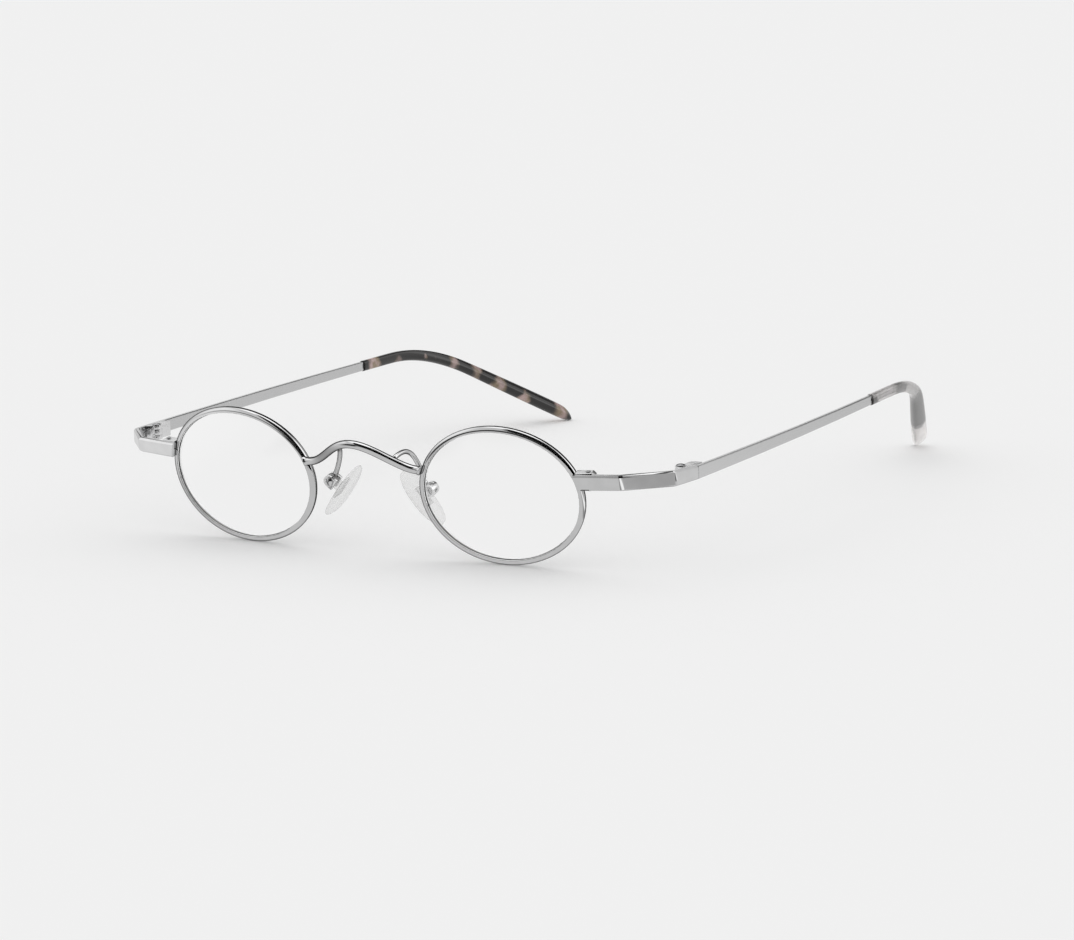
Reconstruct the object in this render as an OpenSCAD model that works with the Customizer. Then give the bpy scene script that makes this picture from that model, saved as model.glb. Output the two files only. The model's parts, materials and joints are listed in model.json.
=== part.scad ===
// Metal reading glasses, open and standing on a table: rims and tips touch it at z = 0.
// Millimetres. +Z is up, the front faces -Y, the temples run back along +Y, and +X is the right side
// as someone sees it who faces the front. Each pair is modelled on the right and mirrored.

/* [Rims and lenses] */
// Half width of a rim, to the middle of its wire
rim_half_w = 17.2; // [15:0.1:20]
// Half height of a rim, to the middle of its wire
rim_half_h = 13.9; // [12:0.1:17]
// Distance between the middles of the two rims' wires where they are nearest to the nose line
rim_gap = 25.8; // [23.5:0.1:30]
// Radius of the sphere that rims and lenses follow
base_r = 92; // [70:1:140]
// Angle that a lens turns back at its outer side
wrap = 4.3; // [2:0.1:7]
// Backward lean of the rims' bottoms
front_tilt = 11.9; // [8:0.1:15]
// Width of the rim wire, seen from the front
rim_wire_w = 1.15; // [1:0.05:1.5]
// Depth of the rim wire, front to back
rim_wire_d = 1.7; // [1.5:0.05:2.2]
// Depth of the groove that holds the lens
groove_d = 0.45; // [0.3:0.05:0.5]
// Width of the groove at its mouth
groove_w = 0.9; // [0.6:0.05:1]
// Thickness of a lens at its edge
lens_edge_t = 1.5; // [1.2:0.05:1.7]
// Extra thickness at the middle of a lens
lens_crown = 0.6; // [0.2:0.05:1.2]
// Gap between a lens and its groove
lens_gap = 0.04; // [0.02:0.01:0.08]

/* [Bridge and nose pads] */
// Height of the bridge's feet above the lens centres, along the front
bridge_up = 4.7; // [3:0.05:6]
// Distance of the bridge's feet in front of the lens centres
bridge_fwd = 0.75; // [0:0.05:1]
// Straight length of the bridge beside each rim
foot_l = 0.3; // [0.2:0.1:2]
// Height of the arch, along its own lean
arch_h = 6.8; // [5:0.1:9]
// Forward lean of the arch from the front's plane
arch_lean = 30.6; // [20:1:50]
// Shape of the arch: higher values draw its shoulders in
arch_power = 2.2; // [1.4:0.1:2.6]
// Height of the bridge wire
bridge_wire_h = 1.65; // [1.3:0.05:2]
// Depth of the bridge wire
bridge_wire_d = 1.5; // [1.2:0.05:2]
// Diameter of the wire of a guard arm
arm_d = 0.95; // [0.8:0.05:1.2]
// Distance from the nose line to where an arm leaves the bridge
arm_root_x = 7.95; // [6:0.05:8.5]
// Distance from the nose line to a pad screw
pad_x = 11.9; // [11:0.1:13]
// Distance of a pad screw behind the lens centres
pad_back = 5.6; // [5:0.1:7]
// Distance of a pad screw below the lens centres, along the front
pad_down = 1.6; // [0:0.1:3]
// Angle of a pad from upright
pad_splay = 38.5; // [30:0.5:45]
// Length of a pad
pad_l = 13.4; // [10:0.1:14]
// Width of a pad
pad_w = 7.8; // [6:0.1:8.4]
// Thickness of a pad
pad_t = 2.2; // [1.8:0.1:2.8]
// Distance from a pad screw to the pad's back
pad_reach = 2.35; // [2.2:0.05:3]
// Width of a pad box, and twice its round side's radius
box_w = 2.6; // [2.4:0.1:3.2]
// Depth of a pad box, front to back
box_d = 2.6; // [2.4:0.1:3.4]
// Thickness of the tab inside a pad box
tab_t = 1; // [0.8:0.05:1.2]

/* [End bars and closing blocks] */
// Height of an end bar above the lens centres, along the front
bar_up = 3.85; // [3:0.05:6]
// Height of an end bar's strip over its first two facets
bar_h = 3.1; // [2.6:0.1:4]
// Height of an end bar's strip at the hinge
bar_h_seam = 2.8; // [2.4:0.1:3.2]
// Thickness of an end bar's strip
bar_t = 1.05; // [0.9:0.05:1.3]
// Chamfer along an end bar's outer edges
bar_chamfer = 0.35; // [0.1:0.05:0.4]
// How far an end bar reaches past the rim wire's middle, towards the lens
bar_inset = 0; // [-0.2:0.05:1]
// Length of the facet on the front
facet1_l = 9.5; // [9:0.1:12]
// Turn of the first facet from straight across
facet1_a = 10.4; // [6:0.1:14]
// Length of the middle facet
facet2_l = 11.4; // [9:0.1:13]
// Turn of the middle facet from straight across
facet2_a = 49.5; // [40:0.5:60]
// Length of the facet beside the hinge
facet3_l = 7.6; // [7:0.1:9]
// Turn of the facet beside the hinge from straight across
facet3_a = 82; // [78:0.5:88]
// Rise of an end bar along its middle facet
bar_rise = 0.2; // [0:0.05:0.5]
// How much further the bar's inner end reaches at its top
end_slant = 0.8; // [0:0.1:1.2]
// Length of a closing block beside the rim
block_l = 3.3; // [2.8:0.1:4]
// Height of both halves of a closing block together
block_h = 3.5; // [3:0.1:4.6]
// Gap between the halves of a closing block, and between the rim's ends
split_gap = 0.2; // [0.1:0.02:0.3]
// Diameter of a closing screw
block_screw_d = 0.9; // [0.7:0.05:1]

/* [Hinges] */
// Height of a hinge's barrel
hinge_h = 2.95; // [2.6:0.05:3.2]
// Height of the temple's knuckle between the two of the front
mid_knuckle_h = 1.2; // [0.8:0.05:1.4]
// Radius of a hinge's knuckles
knuckle_r = 1.15; // [1.05:0.05:1.4]
// Length of the front hinge leaf from the seam
front_leaf_l = 4.1; // [3.5:0.1:5]
// Length of the temple hinge leaf from the seam
temple_leaf_l = 3.5; // [3:0.1:5]
// Diameter of a hinge screw
hinge_screw_d = 1; // [0.8:0.05:1.1]
// Radial gap between a hinge screw and the temple's knuckle
pin_gap = 0.04; // [0.02:0.01:0.08]
// How far a hinge's pin stands in front of the seam
pin_ahead = 1.8; // [1:0.1:2.4]
// Gap between knuckles
knuckle_gap = 0.05; // [0.03:0.01:0.08]
// Gap between an end bar and its temple
seam_gap = 0.12; // [0.08:0.01:0.2]
// Forward lean of a hinge pin's top
hinge_lean = 1; // [0:0.1:2]
// Diameter of the two pins beside each hinge
rivet_d = 0.6; // [0.4:0.05:0.8]

/* [Temples] */
// Length of the metal bar, from the hinge to the tip's mouth
bar_l = 84.5; // [78:0.5:90]
// Height of a temple bar at the hinge
temple_h0 = 2.7; // [2.4:0.1:3.2]
// Height of a temple bar at the tip's mouth
temple_h1 = 2.1; // [1.8:0.1:2.3]
// Thickness of a temple bar at the tip's mouth
temple_t1 = 0.95; // [0.8:0.05:1.05]
// Outward turn of a temple bar where it starts
temple_splay = 1.8; // [0:0.1:2.5]
// Turn of a temple bar along its length, bowed outwards
temple_bow = 3.8; // [0.5:0.1:4.5]
// Straight length of a tip before its bend
tip_straight = 12; // [8:0.2:20]
// Radius of a tip's bend
tip_bend_r = 50; // [35:1:70]
// Angle of a tip's bend
tip_bend_a = 32.8; // [25:0.2:40]
// Roll of the bend towards the head
tip_roll = 33.8; // [15:0.2:38]
// Twist of a tip along its bend
tip_twist = 45; // [0:1:60]
// Straight length of a tip after its bend
tip_drop = 35; // [25:0.2:38]
// Height of a tip at its mouth
tip_h0 = 2.55; // [2.5:0.05:3.2]
// Greatest height of a tip, near its end
tip_h1 = 3.9; // [3.2:0.05:4.4]
// Thickness of a tip at its mouth
tip_t0 = 1.8; // [1.6:0.05:2.2]
// Greatest thickness of a tip
tip_t1 = 2.65; // [2.2:0.05:3.1]
// Depth of the flat socket in a tip's mouth
socket_d = 1.6; // [1:0.1:3]
// Diameter of the core wire in a tip
core_d = 1.1; // [0.8:0.05:1.2]
// Length of tip beyond the core wire's end
core_short = 14; // [8:0.5:20]
// Gap between a tip and the metal inside it
core_gap = 0.04; // [0.02:0.01:0.08]

/* [Hidden] */

SIL = "silver";
$fn = 32;
solder_gap = 0.03;       // soldered pieces stand this far apart
block_fit = 0.1;         // a closing block's end is straight where the rim curves
screw_gap = 0.02;        // radial gap of a screw in the hole that holds it
seat_gap = 0.02;         // a screw head stands this far off its seat
rim_rings = 80;
lens_spokes = 60;
wire_sides = 8;
bar_sides = 12;

// Plain helpers
function unit(v) = v / norm(v);
function lerp(a, b, t) = a + (b - a) * t;
function turn(v, k, a) = v * cos(a) + cross(k, v) * sin(a) + k * (k * v) * (1 - cos(a));
function place(p, a, b, pts) = [for (q = pts) p + a * q[0] + b * q[1]];
function ring_faces(n, i, j) = [for (k = [0:n - 1]) let (m = (k + 1) % n)
  each [[i * n + k, j * n + k, j * n + m], [i * n + k, j * n + m, i * n + m]]];
function first_cap(n, i) = [[for (k = [0:n - 1]) i * n + k]];
function last_cap(n, i) = [[for (k = [n - 1:-1:0]) i * n + k]];

// A tube of rings, capped at both ends
module skin(rings) {
  n = len(rings[0]);
  last = len(rings) - 1;
  polyhedron([for (r = rings) each r],
    concat([for (i = [0:last - 1]) each ring_faces(n, i, i + 1)], first_cap(n, 0), last_cap(n, last)),
    convexity = 6);
}

// A closed shell of rings between two poles
module shell(first, rings, last_pole) {
  n = len(rings[0]);
  m = len(rings);
  pts = concat([for (r = rings) each r], [first, last_pole]);
  polyhedron(pts, concat(
    [for (i = [0:m - 2]) each ring_faces(n, i, i + 1)],
    [for (k = [0:n - 1]) [n * m, k, (k + 1) % n]],
    [for (k = [0:n - 1]) [n * m + 1, (m - 1) * n + (k + 1) % n, (m - 1) * n + k]]), convexity = 6);
}

// A tube of outer rings around a blind hole of inner rings, both starting at the same mouth
module sleeve(outer, inner) {
  n = len(outer[0]);
  a = len(outer);
  b = len(inner);
  polyhedron([for (r = concat(outer, inner)) each r], concat(
    [for (i = [0:a - 2]) each ring_faces(n, i, i + 1)], last_cap(n, a - 1),
    [for (i = [a:a + b - 2]) each ring_faces(n, i + 1, i)], first_cap(n, a + b - 1),
    ring_faces(n, a, 0)), convexity = 8);
}

module on(side) mirror([side < 0 ? 1 : 0, 0, 0]) translate([0, -mid_y, 0]) children();
module in_front() translate([0, 0, lens_h]) rotate([front_tilt, 0, 0]) children();
function from_front(q) = [q[0], q[1] * cos(front_tilt) - q[2] * sin(front_tilt),
  q[1] * sin(front_tilt) + q[2] * cos(front_tilt) + lens_h];

// Rim: a grooved wire along an ellipse on a sphere, turned back by the wrap angle.
// rim_point(t, r, a) is r outwards and a backwards from the wire's middle at angle t.
lens_c = rim_half_w + rim_gap / 2;
function wrapped(q) = [q[0] * cos(wrap) - q[1] * sin(wrap) + lens_c, q[0] * sin(wrap) + q[1] * cos(wrap), q[2]];
function bowl(x, z) = (x * x + z * z) / (2 * base_r);
function rim_axis(x, z) = unit([-x / base_r, 1, -z / base_r]);
function rim_point(t, r, a) = let (
    x = rim_half_w * cos(t), z = rim_half_h * sin(t), axis = rim_axis(x, z),
    along = unit([-rim_half_w * sin(t), (z * rim_half_h * cos(t) - x * rim_half_w * sin(t)) / base_r,
      rim_half_h * cos(t)]))
  wrapped([x, bowl(x, z), z] + unit(cross(axis, along)) * r + axis * a);
rim_w = rim_wire_w / 2;
rim_d = rim_wire_d / 2;
rim_profile = [[rim_w, -0.5 * rim_d], [rim_w, 0.5 * rim_d], [0.5 * rim_w, rim_d], [-rim_w, rim_d],
  [-rim_w, groove_w / 2], [-rim_w + groove_d, 0], [-rim_w, -groove_w / 2], [-rim_w, -rim_d], [0.5 * rim_w, -rim_d]];
lens_h = -min([for (t = [200:2:340]) for (q = rim_profile) let (p = rim_point(t, q[0], q[1]))
  p[1] * sin(front_tilt) + p[2] * cos(front_tilt)]);
split_t = asin(bar_up / rim_half_h);
split_half = split_gap / 2 / rim_half_h * 180 / PI;

module rim() color(SIL) in_front() skin([for (i = [0:rim_rings])
  let (t = split_t + split_half + (360 - 2 * split_half) * i / rim_rings)
  [for (q = rim_profile) rim_point(t, q[0], q[1])]]);

// Lens: two domed faces and an edge whose ridge sits in the rim's groove
edge_r = -rim_w - lens_gap;
ridge_r = -rim_w + groove_d - 1.5 * lens_gap;
ridge_a = groove_w / 2 - 1.5 * lens_gap;
edge_profile = [[edge_r, lens_edge_t / 2], [edge_r, ridge_a], [ridge_r, 0], [edge_r, -ridge_a],
  [edge_r, -lens_edge_t / 2]];
function lens_ring(f, back) = [for (k = [0:lens_spokes - 1]) let (
    t = 360 * k / lens_spokes, x = (rim_half_w + edge_r) * cos(t) * f, z = (rim_half_h + edge_r) * sin(t) * f)
  wrapped([x, bowl(x, z) + (back ? lens_edge_t / 2 + lens_crown * (1 - f * f) : -lens_edge_t / 2), z])];
module lens() color("white", 0.35) in_front() shell(wrapped([0, lens_edge_t / 2 + lens_crown, 0]), concat(
    [for (f = [0.3, 0.65]) lens_ring(f, true)],
    [for (q = edge_profile) [for (k = [0:lens_spokes - 1]) rim_point(360 * k / lens_spokes, q[0], q[1])]],
    [for (f = [0.65, 0.3]) lens_ring(f, false)]),
  wrapped([0, -lens_edge_t / 2, 0]));

// The rim's outer side on its way past the bridge's feet, at height z along the front
function rim_nose_x(z) = let (t = 180 - asin(z / (rim_half_h + rim_w)))
  rim_point(t, rim_w + solder_gap, -rim_d / 2)[0];
foot_x = rim_nose_x(bridge_up);
arch_half_w = foot_x - foot_l;

// Bridge: an arch that leans forward between two feet, each cut to its rim's outer side
function arch(x) = let (u = min(1, abs(x) / arch_half_w), f = arch_h * pow(1 - u * u, arch_power))
  [x, -bridge_fwd - f * sin(arch_lean), bridge_up + f * cos(arch_lean)];
function arch_along(x) = unit(arch(x + 0.05) - arch(x - 0.05));
function arch_back(x) = let (t = arch_along(x)) unit([0, 1, 0] - t * t[1]);
bridge_profile = let (h = bridge_wire_h / 2, d = bridge_wire_d / 2, c = 0.35)
  [[d - c, h], [-d + c, h], [-d, h - c], [-d, c - h], [c - d, -h], [d - c, -h], [d, c - h], [d, h - c]];
function bridge_ring(x) = let (back = arch_back(x))
  place(arch(x), back, cross(arch_along(x), back), bridge_profile);
bridge_xs = [0.05, 0.14, 0.23, 0.32, 0.41, 0.5, 0.59, 0.67, 0.75, 0.83, 0.91, 1] * arch_half_w;
module bridge() color(SIL) in_front() let (
    right = concat([for (x = bridge_xs) bridge_ring(x)],
      [[for (p = bridge_ring(foot_x)) [rim_nose_x(p[2]), p[1], p[2]]]]),
    left = [for (x = bridge_xs) bridge_ring(-x)])
  skin(concat([[for (p = bridge_ring(-foot_x)) [-rim_nose_x(p[2]), p[1], p[2]]]],
    [for (i = [len(left) - 1:-1:0]) left[i]], right));

// Guard arm: one wire from the bridge's back, up, back and down to the pad box
box_r = box_w / 2;
pad_screw_at = [pad_x, pad_back, -pad_down];
arm_fall = 12;            // how far the arm leans back from the box's top where it reaches it
pad_top_dir = [-sin(pad_splay), 0, cos(pad_splay)];
arm_seat_gap = 0.03;      // extra room where the arm's flat end meets the curved bridge
arm_back = arch_back(arm_root_x);
arm_ctrl = let (p0 = arch(arm_root_x) + arm_back * (bridge_wire_d / 2 + solder_gap + arm_seat_gap),
    p3 = pad_screw_at + pad_top_dir * (box_r + solder_gap))
  [p0, p0 + [0.3, 8.5, 1.6], p3 + (pad_top_dir * cos(arm_fall) - [0, sin(arm_fall), 0]) * 3.4, p3];
function bez(c, t) = pow(1 - t, 3) * c[0] + 3 * t * pow(1 - t, 2) * c[1] + 3 * t * t * (1 - t) * c[2]
  + pow(t, 3) * c[3];
function bez_along(c, t) = unit(pow(1 - t, 2) * (c[1] - c[0]) + 2 * t * (1 - t) * (c[2] - c[1])
  + t * t * (c[3] - c[2]));
function circle_pts(r, n) = [for (k = [0:n - 1]) [r * cos(360 * k / n), r * sin(360 * k / n)]];
arm_steps = 14;
function arm_ring(t) = let (along = bez_along(arm_ctrl, t), a = unit(cross(along, [1, 0, 0])))
  place(bez(arm_ctrl, t), a, cross(along, a), circle_pts(arm_d / 2, wire_sides));
// The arm's ends are cut to the flat of the bridge's back and to the top of the pad box
function arm_seat(t, face) = let (along = bez_along(arm_ctrl, t))
  [for (p = arm_ring(t)) p - along * ((p - bez(arm_ctrl, t)) * face) / (along * face)];
module guard_arm() color(SIL) in_front() skin(concat([arm_seat(0, arm_back)],
  [for (i = [1:arm_steps - 1]) arm_ring(i / arm_steps)], [arm_seat(1, pad_top_dir)]));

// Pad frame: origin on the pad screw, +X away from the nose, +Z towards the pad's upper end
module at_pad() in_front() translate(pad_screw_at) rotate([0, -pad_splay, 0]) children();
module across(r, l) rotate([90, 0, 0]) cylinder(r = r, h = l, center = true);
slot_w = tab_t + 0.12;   // slot in the box, with room beside the tab
pad_screw_r = 0.5;
tab_r = 1.05;            // round end of the tab inside the box
module pad_box() color(SIL) at_pad() difference() {
  union() {
    across(box_r, box_d);
    translate([-box_r, -box_d / 2, -box_r]) cube([box_r, box_d, box_w]);
  }
  translate([-box_r - 1, -slot_w / 2, -box_r - 1]) cube([box_r + 1 + tab_r + 0.1, slot_w, box_w + 2]);
  across(pad_screw_r + screw_gap, box_d + 2);
}

// A round screw head with its flat side on z = 0, domed and slotted
module screw_head(r, h) difference() {
  intersection() {
    cylinder(r = r, h = h);
    let (dome_r = (r * r * 1.5 + h * h) / (2 * h)) translate([0, 0, h - dome_r]) sphere(r = dome_r);
  }
  translate([-r - 1, -r * 0.14, h * 0.45]) cube([2 * r + 2, r * 0.28, h]);
}
pad_head_r = 0.95;
pad_head_h = 0.5;
module pad_screw() color(SIL) at_pad() rotate([90, 0, 0]) union() {
  translate([0, 0, -box_d / 2]) cylinder(r = pad_screw_r, h = box_d + seat_gap + 0.01);
  translate([0, 0, box_d / 2 + seat_gap]) rotate([0, 0, 35]) screw_head(pad_head_r, pad_head_h);
}

// Pad mount: the tab on the screw and the plate that sits in the pad's back
plate_l = 4.4;
plate_w = 2.6;
plate_t = 0.5;
mount_gap = 0.05;
module pad_mount() color(SIL) at_pad() difference() {
  union() {
    across(tab_r, tab_t);
    translate([-pad_reach - 0.2, -tab_t / 2, -tab_r]) cube([pad_reach + 0.2, tab_t, 2 * tab_r]);
    translate([-pad_reach - plate_t + mount_gap, -plate_w / 2, -plate_l / 2]) cube([plate_t, plate_w, plate_l]);
  }
  across(pad_screw_r + pin_gap, box_d);
}

// Nose pad: an egg-shaped cushion, flatter at the back, with a recess for the plate
pad_rings = 10;
function pad_ring(f) = let (
    w = pow(1 - f * f, 0.38) * pad_w / 2 * (1 - 0.12 * f), t = pow(1 - f * f, 0.35) * pad_t)
  [for (k = [0:15]) let (c = cos(22.5 * k), s = sin(22.5 * k))
    [-pad_reach - pad_t * 0.38 + (c > 0 ? 0.38 : 0.62) * t * c, s * w, f * pad_l / 2]];
module nose_pad() color("white", 0.5) at_pad() difference() {
  shell([-pad_reach - pad_t * 0.38, 0, -pad_l / 2],
    [for (i = [1:pad_rings - 1]) pad_ring(-cos(180 * i / pad_rings))],
    [-pad_reach - pad_t * 0.38, 0, pad_l / 2]);
  translate([-pad_reach - plate_t, -plate_w / 2 - mount_gap, -plate_l / 2 - mount_gap])
    cube([plate_t + 1, plate_w + 2 * mount_gap, plate_l + 2 * mount_gap]);
}

// End bar: a strip folded into three facets. Its first facet lies on the front of the rim.
bar_root = rim_point(split_t, 0, 0);
facet1_dir = [cos(facet1_a), sin(facet1_a), 0];
facet1_in = [-sin(facet1_a), cos(facet1_a), 0];
bar_off = rim_d / cos(wrap) + solder_gap;
bar_p0 = bar_root - facet1_dir * bar_inset - facet1_in * (bar_off + bar_t + 0.12);
bar_p1 = bar_p0 + facet1_dir * facet1_l;
hinge_up = [0, -sin(hinge_lean), cos(hinge_lean)];
hinge_back = [0, cos(hinge_lean), sin(hinge_lean)];
facet2_dir = [cos(facet2_a), sin(facet2_a), 0];
facet3_dir = [1, 0, 0] * cos(facet3_a) + hinge_back * sin(facet3_a);
facet3_in = [-1, 0, 0] * sin(facet3_a) + hinge_back * cos(facet3_a);
bar_w1 = from_front(bar_p1);
bar_w2 = bar_w1 + facet2_dir * facet2_l + [0, 0, bar_rise];
seam_at = bar_w2 + facet3_dir * facet3_l;
function bar_profile(strip_h) = let (h = strip_h / 2, c = bar_chamfer)
  [[c, h], [0, h - c], [0, c - h], [c, -h], [bar_t, -h], [bar_t, h]];
function mitre(a, b) = [-sin((a + b) / 2), cos((a + b) / 2), 0] / cos((b - a) / 2);
function bar_ring(p, depth, up, strip_h = bar_h) = place(p, depth, up, bar_profile(strip_h));
function slanted(p) = p - facet1_dir * end_slant * (p[2] - bar_p0[2]) / bar_h;
module endpiece() color(SIL) difference() {
  skin([
    [for (p = bar_ring(bar_p0, facet1_in, [0, 0, 1])) from_front(slanted(p))],
    [for (p = bar_ring(bar_p1, mitre(facet1_a, facet2_a), [0, 0, 1])) from_front(p)],
    bar_ring(bar_w2, mitre(facet2_a, facet3_a), hinge_up),
    bar_ring(seam_at, [-1 / sin(facet3_a), 0, 0], hinge_up, bar_h_seam)]);
  hinge_pin_shapes(rivet_d / 2 + screw_gap, 0.02);
}

// Two pins in the facet beside the hinge, seen as dots on its inner side
pin_depth = 0.6;
pin_up = 0.85;           // distance of each pin above or below the bar's middle
pin_fwd = front_leaf_l + 0.5;  // distance of the pins in front of the seam
module hinge_pin_shapes(r, extra) for (s = [-1, 1])
  translate(seam_at - facet3_dir * pin_fwd + facet3_in * (bar_t - pin_depth - extra) + hinge_up * pin_up * s)
    rotate([hinge_lean, 0, 0]) rotate([0, 0, facet3_a]) rotate([-90, 0, 0])
      cylinder(r = r, h = pin_depth + 2 * extra + 0.12);
module hinge_pins() color("dimgray") hinge_pin_shapes(rivet_d / 2, 0);

// Closing block: two halves that hold the rim's ends, each cut to the rim's outer side.
// Block frame: origin at the rim's split, +X along the first facet, +Y backwards, +Z up the front
module at_block() in_front() translate(bar_root) rotate([0, 0, facet1_a]) children();
function to_block(p) = let (d = p - bar_root) [d * facet1_dir, d * facet1_in, d[2]];
function rim_side(z) = to_block(rim_point(asin((bar_up + z) / (rim_half_h + rim_w * 0.9)), rim_w, 0))[0]
  + block_fit;
block_end = rim_w + block_l;
block_y0 = -bar_off - 0.12 + solder_gap;
block_y1 = rim_d;
block_screw_x = rim_side(0) + 1.75;
module block_half(s) at_block() difference() {
  translate([0, block_y1, 0]) rotate([90, 0, 0]) linear_extrude(block_y1 - block_y0) polygon([
    for (z = [split_gap / 2, block_h / 4, block_h / 2]) [rim_side(s * z), s * z],
    [block_end - 0.6, s * block_h / 2], [block_end, s * (block_h / 2 - 0.6)], [block_end, s * split_gap / 2]]);
  translate([block_screw_x, (block_y0 + block_y1) / 2, 0])
    cylinder(r = block_screw_d / 2 + screw_gap, h = block_h + 2, center = true);
}
module closing_block_upper() color(SIL) block_half(1);
module closing_block_lower() color(SIL) block_half(-1);
module closing_screw() color(SIL) at_block() translate([block_screw_x, (block_y0 + block_y1) / 2, 0]) union() {
  translate([0, 0, -block_h / 2 - seat_gap - 0.01]) cylinder(r = block_screw_d / 2, h = block_h + 0.2);
  translate([0, 0, -block_h / 2 - seat_gap]) rotate([180, 0, 0]) screw_head(0.8, 0.4);
}

// Hinge frame: origin on the outer corner of the seam, +Y along the temple, +Z along the pin
module at_hinge() translate(seam_at) rotate([hinge_lean, 0, 0]) children();
pin_off = 0.1;           // gap between the temple's leaf and the bar beside it
leaf_wall = 0.35;        // a leaf's wall beside the barrel
pin_y = -pin_ahead;
leaf_in = 0.35;          // how far a leaf reaches past the pin, towards the head
outer_knuckle_h = (hinge_h - mid_knuckle_h) / 2 - knuckle_gap;
clear_r = knuckle_r + 0.12;
function facet3_inner_x(y) = -bar_t / sin(facet3_a) + y / tan(facet3_a) - solder_gap;
pin_x = facet3_inner_x(pin_y) - knuckle_r - leaf_wall - pin_off;
front_leaf = [[facet3_inner_x(pin_y), pin_y], [facet3_inner_x(-front_leaf_l), -front_leaf_l],
  [pin_x + 0.5, -front_leaf_l + 0.3], [pin_x - leaf_in, -front_leaf_l + 1.1], [pin_x - leaf_in, pin_y], [pin_x, pin_y]];
temple_inner_x = -bar_t - solder_gap;
temple_leaf = [[temple_inner_x, 0.2 + seam_gap],
  [temple_inner_x + temple_leaf_l * tan(temple_splay), temple_leaf_l],
  [pin_x + 0.4, temple_leaf_l], [pin_x - leaf_in, temple_leaf_l - 0.8], [pin_x - leaf_in, pin_y + 0.2],
  [facet3_inner_x(pin_y) - pin_off, pin_y + 0.2], [facet3_inner_x(0) - pin_off, 0.2 + seam_gap]];
module level(k) {
  h = k == 0 ? mid_knuckle_h : outer_knuckle_h;
  translate([0, 0, k == 0 ? -h / 2 : k * (hinge_h - h) / 2 - h / 2]) linear_extrude(h) children();
}
module knuckle(r) translate([pin_x, pin_y]) circle(r = r, $fn = 40);
// The free levels are cut clear of the other leaf's knuckle
module leaf(outline, own, free, bore) difference() {
  union() {
    translate([0, 0, -hinge_h / 2]) linear_extrude(hinge_h) difference() {
      polygon(outline);
      knuckle(clear_r);
    }
    for (k = own) level(k) union() {
      intersection() {
        polygon(outline);
        knuckle(clear_r + 0.2);
      }
      knuckle(knuckle_r);
    }
  }
  translate([pin_x, pin_y, 0]) cylinder(r = bore, h = hinge_h + 2, center = true);
}
module front_hinge() color(SIL) at_hinge() leaf(front_leaf, [-1, 1], [0], hinge_screw_d / 2 + screw_gap);
module temple_hinge() color(SIL) at_hinge() leaf(temple_leaf, [0], [-1, 1], hinge_screw_d / 2 + pin_gap);
module hinge_screw() color(SIL) at_hinge() translate([pin_x, pin_y, 0]) union() {
  translate([0, 0, -hinge_h / 2]) cylinder(r = hinge_screw_d / 2, h = hinge_h + seat_gap + 0.01);
  translate([0, 0, hinge_h / 2 + seat_gap]) rotate([0, 0, 50]) screw_head(0.95, 0.4);
}

// Temple line: frames [point, along, up] at a length s from the seam. It bows gently, runs straight,
// bends down and in, and ends straight. rise is its slope where it starts.
function arc_on(f, r, s, roll) = let (
    w = cross(f[1], f[2]), e = -(f[2] * cos(roll) + w * sin(roll)), k = cross(f[1], e), a = s / r * 180 / PI)
  [f[0] + f[1] * r * sin(a) + e * r * (1 - cos(a)), turn(f[1], k, a), turn(f[2], k, a)];
function straight_on(f, s) = [f[0] + f[1] * s, f[1], f[2]];
bow_r = bar_l / (temple_bow * PI / 180);
bend_l = tip_bend_r * tip_bend_a * PI / 180;
temple_l = bar_l + tip_straight + bend_l + tip_drop;
function line_at(s, rise) = let (
    out = [sin(temple_splay), cos(temple_splay), 0],
    f0 = [seam_at - [bar_t / 2, 0, 0], out * cos(rise) + [0, 0, sin(rise)], [0, 0, cos(rise)] - out * sin(rise)],
    f1 = arc_on(f0, bow_r, min(s, bar_l), 90), f2 = straight_on(f1, max(0, min(s - bar_l, tip_straight))),
    bent = max(0, min(s - bar_l - tip_straight, bend_l)), f3 = arc_on(f2, tip_bend_r, bent, tip_roll))
  straight_on([f3[0], f3[1], turn(f3[2], f3[1], tip_twist * bent / bend_l)],
    max(0, s - bar_l - tip_straight - bend_l));
function frame_ring(f, pts) = place(f[0], cross(f[2], f[1]), f[2], pts);

// Twelve points round a bar with chamfers c, or round a wire
function bar_pts(t, h, c) = let (x = t / 2, z = h / 2)
  [[x, 0], [x, z - c], [x - c, z], [0, z], [c - x, z], [-x, z - c],
    [-x, 0], [-x, c - z], [c - x, -z], [0, -z], [x - c, -z], [x, c - z]];
function soft_pts(t, h) = [for (k = [0:bar_sides - 1]) let (c = cos(30 * k), s = sin(30 * k))
  [sign(c) * pow(abs(c), 0.7) * t / 2, sign(s) * pow(abs(s), 0.7) * h / 2]];

// Tip: swells towards its end, which is rounded more at the top than at the bottom
cap_l = 4;                // length over which a tip's end is rounded
swell_from = 0.2;         // shares of a tip's length between which it swells
swell_to = 0.85;
core_step = 0.5;          // length over which the flat bar goes down to its core wire
temple_edge = 0.2;        // chamfer along a temple's edges
function tip_f(s) = (s - bar_l) / (temple_l - bar_l);
function tip_cap(s) = let (u = max(0, (s - temple_l + cap_l) / cap_l)) sqrt(max(0.02, 1 - u * u));
function tip_swell(s) = let (u = max(0, min(1, (tip_f(s) - swell_from) / (swell_to - swell_from)))) u * u * (3 - 2 * u);
function tip_pts(s) = let (c = tip_cap(s), h = lerp(tip_h0, tip_h1, tip_swell(s)), t = lerp(tip_t0, tip_t1, tip_swell(s)))
  [for (q = soft_pts(t * c, h * c)) [q[0], q[1] - 0.3 * h * (1 - c)]];
bend_steps = 9;
bend_ss = [for (i = [0:bend_steps]) bar_l + tip_straight + bend_l * i / bend_steps];
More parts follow.
